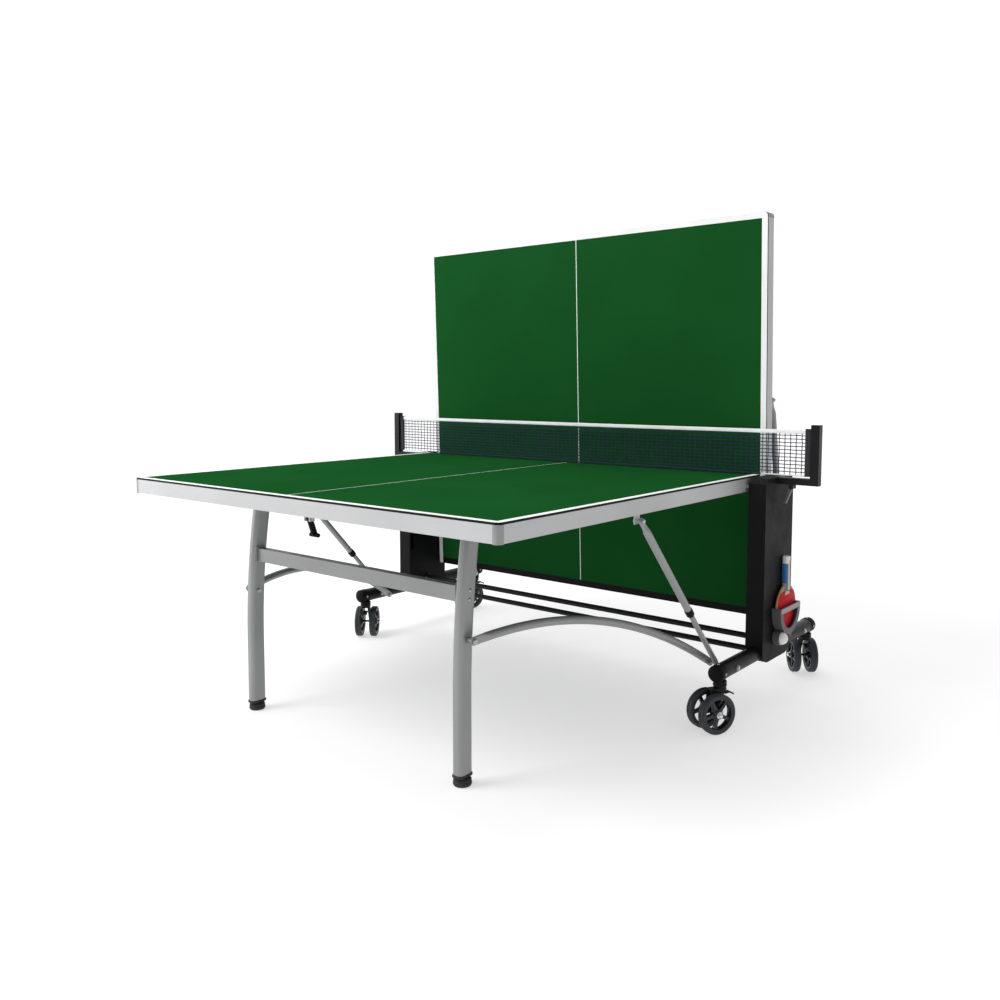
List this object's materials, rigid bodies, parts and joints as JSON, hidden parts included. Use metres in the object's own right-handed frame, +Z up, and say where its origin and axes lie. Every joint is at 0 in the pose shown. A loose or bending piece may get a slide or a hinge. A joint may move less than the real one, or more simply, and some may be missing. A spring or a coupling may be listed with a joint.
{
  "type": "playback ping pong table",
  "caption": "Rolling playback ping pong table with one half level for play and the other folded upright, net, braced legs, swivel casters and a bat holder.",
  "frame": {"origin": "on the floor, under the middle of the outline as it stands with the front half level and the rear half upright", "axes": "+X along the net to the right of a player at the level half, +Y from the level half to the upright half, +Z up"},
  "size_m": [1.928, 1.8148, 1.6266],
  "materials": {
    "board": "satin green playing surface with white lines",
    "apron": "satin silver paint",
    "silver_paint": "satin silver paint",
    "steel": "zinc plated",
    "black_metal": "semi-gloss black powder coat",
    "black_plastic": "fine moulded grain",
    "grey_plastic": "fine moulded grain",
    "rubber": "matte",
    "wheel": "rubber tread on a moulded hub",
    "net": "woven navy mesh with white tapes",
    "bat": "pimpled red rubber on plywood",
    "ball": "matte white celluloid"
  },
  "bodies": {
    "undercarriage": {"rail_left": "black_metal", "rail_right": "black_metal", "casing_left": "black_plastic", "casing_right": "black_plastic", "upper_cross_tube": "black_metal", "lower_cross_tube": "black_metal", "net": "net", "net_post_left": "black_metal", "net_post_right": "black_metal", "bat_holder": "grey_plastic"},
    "front_shoes": {"front_slide_shoe_left": "steel", "front_slide_shoe_right": "steel"},
    "front_half": {"front_board": "board", "front_apron_frame": "apron"},
    "front_legs": {"front_leg_left": "silver_paint", "front_leg_right": "silver_paint", "front_leg_crossbar": "silver_paint"},
    "front_braces": {"front_brace_left": "silver_paint", "front_brace_right": "silver_paint"},
    "front_strut_tubes": {"front_strut_tube_left": "silver_paint", "front_strut_tube_right": "silver_paint"},
    "front_strut_rods": {"front_strut_rod_left": "steel", "front_strut_rod_right": "steel"},
    "front_lever": {"front_release_lever": "black_plastic"},
    "front_foot_left": {"front_foot_left": "rubber"},
    "front_foot_right": {"front_foot_right": "rubber"},
    "rear_shoes": {"rear_slide_shoe_left": "steel", "rear_slide_shoe_right": "steel"},
    "rear_half": {"rear_board": "board", "rear_apron_frame": "apron"},
    "rear_legs": {"rear_leg_left": "silver_paint", "rear_leg_right": "silver_paint", "rear_leg_crossbar": "silver_paint"},
    "rear_braces": {"rear_brace_left": "silver_paint", "rear_brace_right": "silver_paint"},
    "rear_strut_tubes": {"rear_strut_tube_left": "silver_paint", "rear_strut_tube_right": "silver_paint"},
    "rear_strut_rods": {"rear_strut_rod_left": "steel", "rear_strut_rod_right": "steel"},
    "rear_lever": {"rear_release_lever": "black_plastic"},
    "rear_foot_left": {"rear_foot_left": "rubber"},
    "rear_foot_right": {"rear_foot_right": "rubber"},
    "front_right_caster": {"front_right_caster_fork": "black_metal"},
    "front_right_wheel_a": {"front_right_wheel_a": "wheel"},
    "front_right_wheel_b": {"front_right_wheel_b": "wheel"},
    "rear_right_caster": {"rear_right_caster_fork": "black_metal"},
    "rear_right_wheel_a": {"rear_right_wheel_a": "wheel"},
    "rear_right_wheel_b": {"rear_right_wheel_b": "wheel"},
    "front_left_caster": {"front_left_caster_fork": "black_metal"},
    "front_left_wheel_a": {"front_left_wheel_a": "wheel"},
    "front_left_wheel_b": {"front_left_wheel_b": "wheel"},
    "rear_left_caster": {"rear_left_caster_fork": "black_metal"},
    "rear_left_wheel_a": {"rear_left_wheel_a": "wheel"},
    "rear_left_wheel_b": {"rear_left_wheel_b": "wheel"},
    "net_lever_left": {"net_lever_left": "grey_plastic"},
    "net_lever_right": {"net_lever_right": "grey_plastic"},
    "bat": {"bat": "bat"},
    "ball": {"ball": "ball"}
  },
  "joints": [
    {"name": "front_shoe_slide", "type": "slide", "parent": "undercarriage", "child": "front_shoes", "axis": [0, 0, 1], "range_m": [-0.37926, 0]},
    {"name": "front_fold", "type": "hinge", "parent": "front_shoes", "child": "front_half", "pos_m": [0, 0.36863, 0.73], "axis": [-1, 0, 0], "range_deg": [0, 92.1]},
    {"name": "front_leg_fold", "type": "hinge", "parent": "front_half", "child": "front_legs", "pos_m": [0, -0.63937, 0.698], "axis": [-1, 0, 0], "range_deg": [-90.1, 0]},
    {"name": "front_brace_swing", "type": "hinge", "parent": "undercarriage", "child": "front_braces", "pos_m": [0, 0.18763, 0.18], "axis": [-1, 0, 0], "range_deg": [0, 85.07]},
    {"name": "front_strut_swing", "type": "hinge", "parent": "front_half", "child": "front_strut_tubes", "pos_m": [0, -0.28537, 0.689], "axis": [-1, 0, 0], "range_deg": [-37.97, 0]},
    {"name": "front_strut_slide", "type": "slide", "parent": "front_strut_tubes", "child": "front_strut_rods", "axis": [0, 0.6807, -0.7325], "range_m": [0, 0.14708]},
    {"name": "front_lever_pull", "type": "hinge", "parent": "front_half", "child": "front_lever", "pos_m": [0, -0.86537, 0.7007], "axis": [-1, 0, 0], "range_deg": [0, 35], "stiffness_Nm_per_rad": 0.3},
    {"name": "front_foot_left_level", "type": "slide", "parent": "front_legs", "child": "front_foot_left", "axis": [0, 0, -1], "range_m": [0, 0.01]},
    {"name": "front_foot_right_level", "type": "slide", "parent": "front_legs", "child": "front_foot_right", "axis": [0, 0, -1], "range_m": [0, 0.01]},
    {"name": "rear_shoe_slide", "type": "slide", "parent": "undercarriage", "child": "rear_shoes", "axis": [0, 0, 1], "range_m": [0, 0.37926]},
    {"name": "rear_fold", "type": "hinge", "parent": "rear_shoes", "child": "rear_half", "pos_m": [0, 0.55663, 0.35074], "axis": [1, 0, 0], "range_deg": [-92.1, 0]},
    {"name": "rear_leg_fold", "type": "hinge", "parent": "rear_half", "child": "rear_legs", "pos_m": [0, 0.55167, 1.35923], "axis": [1, 0, 0], "range_deg": [0, 90.1]},
    {"name": "rear_brace_swing", "type": "hinge", "parent": "undercarriage", "child": "rear_braces", "pos_m": [0, 0.73763, 0.18], "axis": [1, 0, 0], "range_deg": [-85.07, 0]},
    {"name": "rear_strut_swing", "type": "hinge", "parent": "rear_half", "child": "rear_strut_tubes", "pos_m": [0, 0.57364, 1.0058], "axis": [1, 0, 0], "range_deg": [0, 37.97]},
    {"name": "rear_strut_slide", "type": "slide", "parent": "rear_strut_tubes", "child": "rear_strut_rods", "axis": [0, 0.1948, -0.9808], "range_m": [-0.14708, 0]},
    {"name": "rear_lever_pull", "type": "hinge", "parent": "rear_half", "child": "rear_lever", "pos_m": [0, 0.54069, 1.58498], "axis": [1, 0, 0], "range_deg": [0, 35], "stiffness_Nm_per_rad": 0.3},
    {"name": "rear_foot_left_level", "type": "slide", "parent": "rear_legs", "child": "rear_foot_left", "axis": [0, 0.0349, -0.9994], "range_m": [0, 0.01]},
    {"name": "rear_foot_right_level", "type": "slide", "parent": "rear_legs", "child": "rear_foot_right", "axis": [0, 0.0349, -0.9994], "range_m": [0, 0.01]},
    {"name": "front_right_swivel", "type": "hinge", "parent": "undercarriage", "child": "front_right_caster", "pos_m": [0.8, 0.11563, 0], "axis": [0, 0, 1], "continuous": true},
    {"name": "front_right_wheel_a_spin", "type": "hinge", "parent": "front_right_caster", "child": "front_right_wheel_a", "pos_m": [0.8122, 0.0735, 0.0625], "axis": [-0.891, 0.454, 0], "continuous": true},
    {"name": "front_right_wheel_b_spin", "type": "hinge", "parent": "front_right_caster", "child": "front_right_wheel_b", "pos_m": [0.75874, 0.10074, 0.0625], "axis": [-0.891, 0.454, 0], "continuous": true},
    {"name": "rear_right_swivel", "type": "hinge", "parent": "undercarriage", "child": "rear_right_caster", "pos_m": [0.8, 0.80963, 0], "axis": [0, 0, 1], "continuous": true},
    {"name": "rear_right_wheel_a_spin", "type": "hinge", "parent": "rear_right_caster", "child": "rear_right_wheel_a", "pos_m": [0.75678, 0.81713, 0.0625], "axis": [0.7986, 0.6018, 0], "continuous": true},
    {"name": "rear_right_wheel_b_spin", "type": "hinge", "parent": "rear_right_caster", "child": "rear_right_wheel_b", "pos_m": [0.8047, 0.85324, 0.0625], "axis": [0.7986, 0.6018, 0], "continuous": true},
    {"name": "front_left_swivel", "type": "hinge", "parent": "undercarriage", "child": "front_left_caster", "pos_m": [-0.8, 0.11563, 0], "axis": [0, 0, 1], "continuous": true},
    {"name": "front_left_wheel_a_spin", "type": "hinge", "parent": "front_left_caster", "child": "front_left_wheel_a", "pos_m": [-0.84322, 0.12313, 0.0625], "axis": [0.7986, 0.6018, 0], "continuous": true},
    {"name": "front_left_wheel_b_spin", "type": "hinge", "parent": "front_left_caster", "child": "front_left_wheel_b", "pos_m": [-0.7953, 0.15924, 0.0625], "axis": [0.7986, 0.6018, 0], "continuous": true},
    {"name": "rear_left_swivel", "type": "hinge", "parent": "undercarriage", "child": "rear_left_caster", "pos_m": [-0.8, 0.80963, 0], "axis": [0, 0, 1], "continuous": true},
    {"name": "rear_left_wheel_a_spin", "type": "hinge", "parent": "rear_left_caster", "child": "rear_left_wheel_a", "pos_m": [-0.7878, 0.7675, 0.0625], "axis": [-0.891, 0.454, 0], "continuous": true},
    {"name": "rear_left_wheel_b_spin", "type": "hinge", "parent": "rear_left_caster", "child": "rear_left_wheel_b", "pos_m": [-0.84126, 0.79474, 0.0625], "axis": [-0.891, 0.454, 0], "continuous": true},
    {"name": "net_lever_left_turn", "type": "hinge", "parent": "undercarriage", "child": "net_lever_left", "pos_m": [-0.875, 0.46263, 0.727], "axis": [0, 1, 0], "range_deg": [0, 60]},
    {"name": "net_lever_right_turn", "type": "hinge", "parent": "undercarriage", "child": "net_lever_right", "pos_m": [0.875, 0.46263, 0.727], "axis": [0, -1, 0], "range_deg": [0, 60]},
    {"name": "bat_lift", "type": "slide", "parent": "undercarriage", "child": "bat", "axis": [0, 0, 1], "range_m": [0, 0.15]},
    {"name": "ball_out", "type": "slide", "parent": "undercarriage", "child": "ball", "axis": [1, 0, 0], "range_m": [0, 0.045]}
  ],
  "couplings": [
    {"joint": "front_shoe_slide", "follows": "front_fold", "m_per_rad": -0.23594},
    {"joint": "front_leg_fold", "follows": "front_fold", "ratio": -0.97828},
    {"joint": "front_brace_swing", "follows": "front_fold", "ratio": 0.92364},
    {"joint": "front_strut_swing", "follows": "front_fold", "ratio": -0.41224},
    {"joint": "front_strut_slide", "follows": "front_fold", "m_per_rad": 0.0915},
    {"joint": "rear_shoe_slide", "follows": "rear_fold", "m_per_rad": -0.23594},
    {"joint": "rear_leg_fold", "follows": "rear_fold", "ratio": -0.97828},
    {"joint": "rear_brace_swing", "follows": "rear_fold", "ratio": 0.92364},
    {"joint": "rear_strut_swing", "follows": "rear_fold", "ratio": -0.41224},
    {"joint": "rear_strut_slide", "follows": "rear_fold", "m_per_rad": 0.0915}
  ]
}
